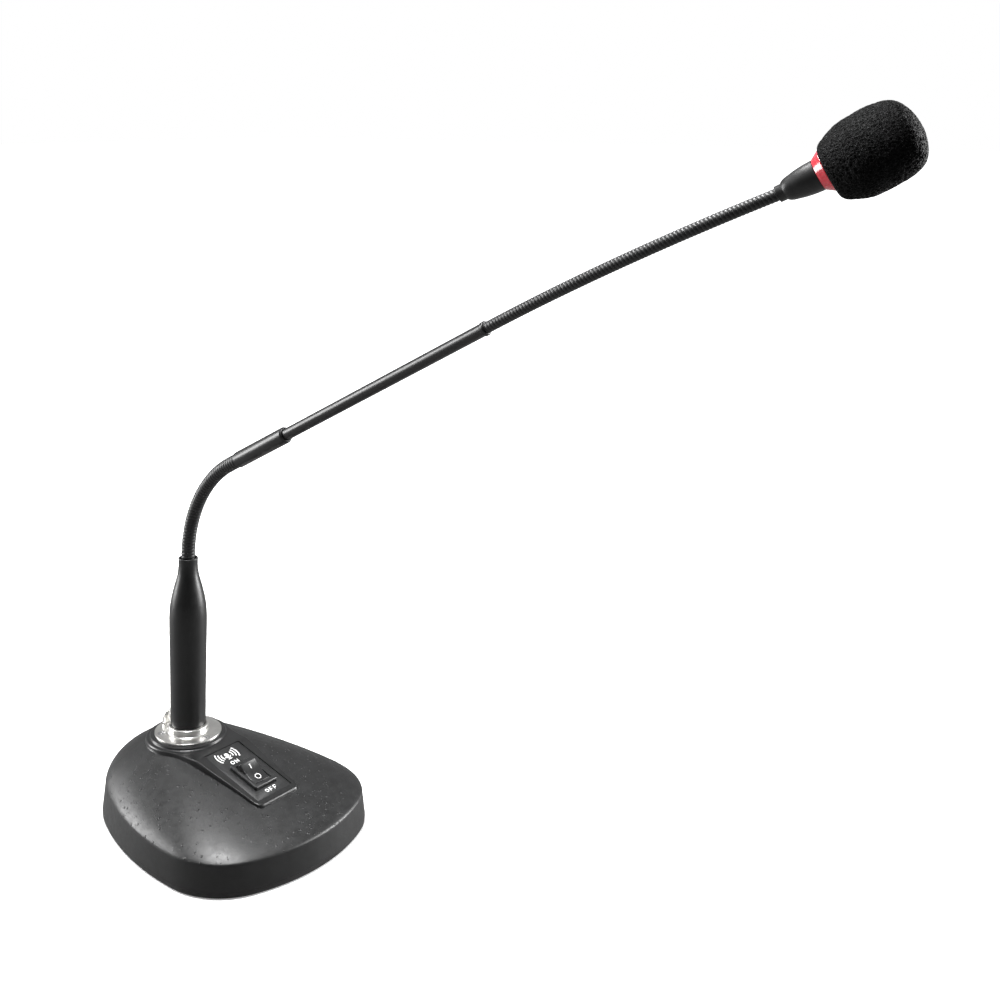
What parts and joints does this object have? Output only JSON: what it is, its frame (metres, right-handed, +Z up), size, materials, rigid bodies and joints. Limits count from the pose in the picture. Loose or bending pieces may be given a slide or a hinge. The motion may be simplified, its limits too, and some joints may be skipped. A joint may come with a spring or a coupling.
{
  "type": "desktop gooseneck microphone stand",
  "caption": "Desktop gooseneck microphone on a heavy rounded base with a rocker switch, plug-in socket, flexible neck, light ring and foam windscreen.",
  "frame": {"origin": "on the desk plane, under the vertical axis of the socket", "axes": "+Z up; -Y is the front, the way the arm leans; +X is to the right seen from behind the front"},
  "size_m": [0.1202, 0.4291, 0.3774],
  "materials": {
    "cast_paint": "satin textured paint",
    "black_steel": "satin",
    "rubber": "matte",
    "steel": "satin",
    "ballast": "rough",
    "panel_plastic": "satin",
    "label": "matte",
    "switch_plastic": "satin",
    "brass": "satin",
    "nickel": "satin nickel",
    "insulator": "satin",
    "contact_metal": "bright",
    "board": "satin",
    "components": "satin",
    "battery": "gloss",
    "wire": "satin",
    "handle_paint": "satin",
    "flex_paint": "semi-gloss",
    "arm_paint": "semi-gloss",
    "cone_paint": "semi-gloss",
    "light_ring": "translucent",
    "aluminium": "satin",
    "foam": "open-cell foam"
  },
  "bodies": {
    "base": {"base_housing": "cast_paint", "bottom_plate": "black_steel", "rubber_feet": "rubber", "bottom_screws": "steel", "ballast_weights": "ballast", "control_panel": "panel_plastic", "label_plate": "label", "switch_body": "switch_plastic", "switch_terminals": "brass", "socket_flange": "nickel", "socket_insert": "insulator", "socket_contacts": "contact_metal", "flange_screws": "steel", "latch_spring": "steel", "circuit_board": "board", "board_components": "components", "output_jack": "insulator", "jack_nut": "nickel", "battery_box": "insulator", "battery_cells": "battery", "battery_contacts": "nickel", "base_wiring": "wire"},
    "rocker": {"rocker": "switch_plastic"},
    "latch": {"latch_tab": "nickel"},
    "battery_door": {"battery_door": "panel_plastic"},
    "plug_and_handle": {"plug_shell": "nickel", "plug_insert": "insulator", "plug_pins": "contact_metal", "handle": "handle_paint", "handle_bushing": "insulator", "lower_flex_root": "flex_paint"},
    "lower_link_1": {"lower_flex_link_1": "flex_paint"},
    "lower_link_2": {"lower_flex_link_2": "flex_paint"},
    "lower_link_3": {"lower_flex_link_3": "flex_paint"},
    "lower_link_4": {"lower_flex_link_4": "flex_paint"},
    "lower_link_5": {"lower_flex_link_5": "flex_paint"},
    "lower_link_6": {"lower_flex_link_6": "flex_paint"},
    "lower_link_7": {"lower_flex_link_7": "flex_paint"},
    "arm": {"lower_flex_tip": "flex_paint", "ferrule": "arm_paint", "tube": "arm_paint", "tube_cable": "wire", "upper_flex_root": "flex_paint"},
    "upper_link_1": {"upper_flex_link_1": "flex_paint"},
    "upper_link_2": {"upper_flex_link_2": "flex_paint"},
    "upper_link_3": {"upper_flex_link_3": "flex_paint"},
    "upper_link_4": {"upper_flex_link_4": "flex_paint"},
    "upper_link_5": {"upper_flex_link_5": "flex_paint"},
    "upper_link_6": {"upper_flex_link_6": "flex_paint"},
    "upper_link_7": {"upper_flex_link_7": "flex_paint"},
    "upper_link_8": {"upper_flex_link_8": "flex_paint"},
    "upper_link_9": {"upper_flex_link_9": "flex_paint"},
    "head": {"upper_flex_tip": "flex_paint", "mic_cone": "cone_paint", "led_ring": "light_ring", "led_board": "board", "capsule_holder": "insulator", "capsule": "aluminium", "capsule_grille": "aluminium"},
    "windscreen": {"windscreen": "foam"}
  },
  "joints": [
    {"name": "rocker_tilt", "type": "hinge", "parent": "base", "child": "rocker", "pos_m": [0, -0.05039, 0.02962], "axis": [-1, 0, 0], "range_deg": [0, 30]},
    {"name": "latch_press", "type": "slide", "parent": "base", "child": "latch", "axis": [0, 0, -1], "range_m": [0, 0.0015], "stiffness_N_per_m": 1500, "springref_m": -0.0005, "deforming": ["latch_spring"]},
    {"name": "battery_door_swing", "type": "hinge", "parent": "base", "child": "battery_door", "pos_m": [0, -0.0837, 0.0016], "axis": [-1, 0, 0], "range_deg": [0, 85]},
    {"name": "plug_pull", "type": "slide", "parent": "base", "child": "plug_and_handle", "axis": [0, 0, 1], "range_m": [0, 0.03]},
    {"name": "lower_flex_bend", "type": "hinge", "parent": "plug_and_handle", "child": "lower_link_1", "pos_m": [0, -0.00018, 0.13562], "axis": [-1, 0, 0], "range_deg": [-6.25, 15.5]},
    {"name": "lower_flex_swing", "type": "hinge", "parent": "lower_link_1", "child": "lower_link_2", "pos_m": [0, -0.00159, 0.14495], "axis": [0, 0.9748, 0.223], "range_deg": [-10, 10]},
    {"name": "lower_flex_bend_2", "type": "hinge", "parent": "lower_link_2", "child": "lower_link_3", "pos_m": [0, -0.00438, 0.15397], "axis": [-1, 0, 0], "range_deg": [-6.25, 15.5]},
    {"name": "lower_flex_swing_2", "type": "hinge", "parent": "lower_link_3", "child": "lower_link_4", "pos_m": [0, -0.00848, 0.16247], "axis": [0, 0.8654, 0.501], "range_deg": [-10, 10]},
    {"name": "lower_flex_bend_3", "type": "hinge", "parent": "lower_link_4", "child": "lower_link_5", "pos_m": [0, -0.01381, 0.17026], "axis": [-1, 0, 0], "range_deg": [-6.25, 15.5]},
    {"name": "lower_flex_swing_3", "type": "hinge", "parent": "lower_link_5", "child": "lower_link_6", "pos_m": [0, -0.02024, 0.17716], "axis": [0, 0.6788, 0.7343], "range_deg": [-10, 10]},
    {"name": "lower_flex_bend_4", "type": "hinge", "parent": "lower_link_6", "child": "lower_link_7", "pos_m": [0, -0.02763, 0.18303], "axis": [-1, 0, 0], "range_deg": [-6.25, 15.5]},
    {"name": "lower_flex_swing_4", "type": "hinge", "parent": "lower_link_7", "child": "arm", "pos_m": [0, -0.03579, 0.18778], "axis": [0, 0.4695, 0.8829], "range_deg": [-10, 10]},
    {"name": "upper_flex_bend", "type": "hinge", "parent": "arm", "child": "upper_link_1", "pos_m": [0.00005, -0.20664, 0.27862], "axis": [-0.9999, -0.0153, 0], "range_deg": [-14, 14]},
    {"name": "upper_flex_swing", "type": "hinge", "parent": "upper_link_1", "child": "upper_link_2", "pos_m": [0.00044, -0.21934, 0.28528], "axis": [-0.0212, 0.461, 0.8871], "range_deg": [-14, 14]},
    {"name": "upper_flex_bend_2", "type": "hinge", "parent": "upper_link_2", "child": "upper_link_3", "pos_m": [0.00122, -0.23207, 0.29186], "axis": [-0.9971, -0.0761, 0], "range_deg": [-14, 14]},
    {"name": "upper_flex_swing_2", "type": "hinge", "parent": "upper_link_3", "child": "upper_link_4", "pos_m": [0.00238, -0.24481, 0.29836], "axis": [-0.0477, 0.4472, 0.8932], "range_deg": [-14, 14]},
    {"name": "upper_flex_bend_3", "type": "hinge", "parent": "upper_link_4", "child": "upper_link_5", "pos_m": [0.00394, -0.25756, 0.30476], "axis": [-0.9907, -0.1358, 0], "range_deg": [-14, 14]},
    {"name": "upper_flex_swing_3", "type": "hinge", "parent": "upper_link_5", "child": "upper_link_6", "pos_m": [0.00587, -0.2703, 0.31108], "axis": [-0.0721, 0.4305, 0.8997], "range_deg": [-14, 14]},
    {"name": "upper_flex_bend_4", "type": "hinge", "parent": "upper_link_6", "child": "upper_link_7", "pos_m": [0.0082, -0.28302, 0.31729], "axis": [-0.981, -0.1941, 0], "range_deg": [-14, 14]},
    {"name": "upper_flex_swing_4", "type": "hinge", "parent": "upper_link_7", "child": "upper_link_8", "pos_m": [0.0109, -0.29572, 0.3234], "axis": [-0.094, 0.4114, 0.9066], "range_deg": [-14, 14]},
    {"name": "upper_flex_bend_5", "type": "hinge", "parent": "upper_link_8", "child": "upper_link_9", "pos_m": [0.01399, -0.30838, 0.3294], "axis": [-0.968, -0.2509, 0], "range_deg": [-14, 14]},
    {"name": "upper_flex_swing_5", "type": "hinge", "parent": "upper_link_9", "child": "head", "pos_m": [0.01746, -0.321, 0.33528], "axis": [-0.1132, 0.39, 0.9138], "range_deg": [-14, 14]},
    {"name": "windscreen_pull", "type": "slide", "parent": "head", "child": "windscreen", "axis": [0.2598, -0.8498, 0.4586], "range_m": [0, 0.04]}
  ],
  "couplings": [
    {"joint": "lower_flex_bend_2", "follows": "lower_flex_bend", "ratio": 1},
    {"joint": "lower_flex_swing_2", "follows": "lower_flex_swing", "ratio": 1},
    {"joint": "lower_flex_bend_3", "follows": "lower_flex_bend", "ratio": 1},
    {"joint": "lower_flex_swing_3", "follows": "lower_flex_swing", "ratio": 1},
    {"joint": "lower_flex_bend_4", "follows": "lower_flex_bend", "ratio": 1},
    {"joint": "lower_flex_swing_4", "follows": "lower_flex_swing", "ratio": 1},
    {"joint": "upper_flex_bend_2", "follows": "upper_flex_bend", "ratio": 1},
    {"joint": "upper_flex_swing_2", "follows": "upper_flex_swing", "ratio": 1},
    {"joint": "upper_flex_bend_3", "follows": "upper_flex_bend", "ratio": 1},
    {"joint": "upper_flex_swing_3", "follows": "upper_flex_swing", "ratio": 1},
    {"joint": "upper_flex_bend_4", "follows": "upper_flex_bend", "ratio": 1},
    {"joint": "upper_flex_swing_4", "follows": "upper_flex_swing", "ratio": 1},
    {"joint": "upper_flex_bend_5", "follows": "upper_flex_bend", "ratio": 1},
    {"joint": "upper_flex_swing_5", "follows": "upper_flex_swing", "ratio": 1}
  ]
}
